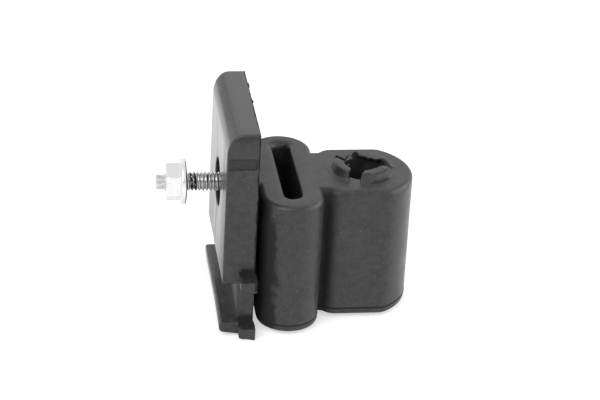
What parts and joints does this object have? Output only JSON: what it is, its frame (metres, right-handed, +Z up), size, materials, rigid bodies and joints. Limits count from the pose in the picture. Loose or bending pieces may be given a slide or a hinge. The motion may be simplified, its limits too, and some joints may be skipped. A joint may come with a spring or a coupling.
{
  "type": "rubber exhaust hanger",
  "caption": "Moulded rubber exhaust hanger with a bolt-up plate, hook channel, slotted flex block and a rod bore with a torn collar.",
  "frame": {"origin": "the stud's axis in the plate's bracket face", "axes": "+X from the stud through the plate towards the rod bore, +Y along the slot, +Z up along the rod bore"},
  "size_m": [0.09, 0.0634, 0.0762],
  "materials": {
    "black_rubber": "satin black moulded rubber, glossier on the plate's bracket face",
    "zinc_steel_stud": "bright zinc plate on rolled thread",
    "zinc_steel_nut": "bright zinc plate"
  },
  "bodies": {
    "root": {"hanger_body": "black_rubber", "mounting_stud": "zinc_steel_stud", "flange_nut": "zinc_steel_nut"}
  },
  "joints": []
}
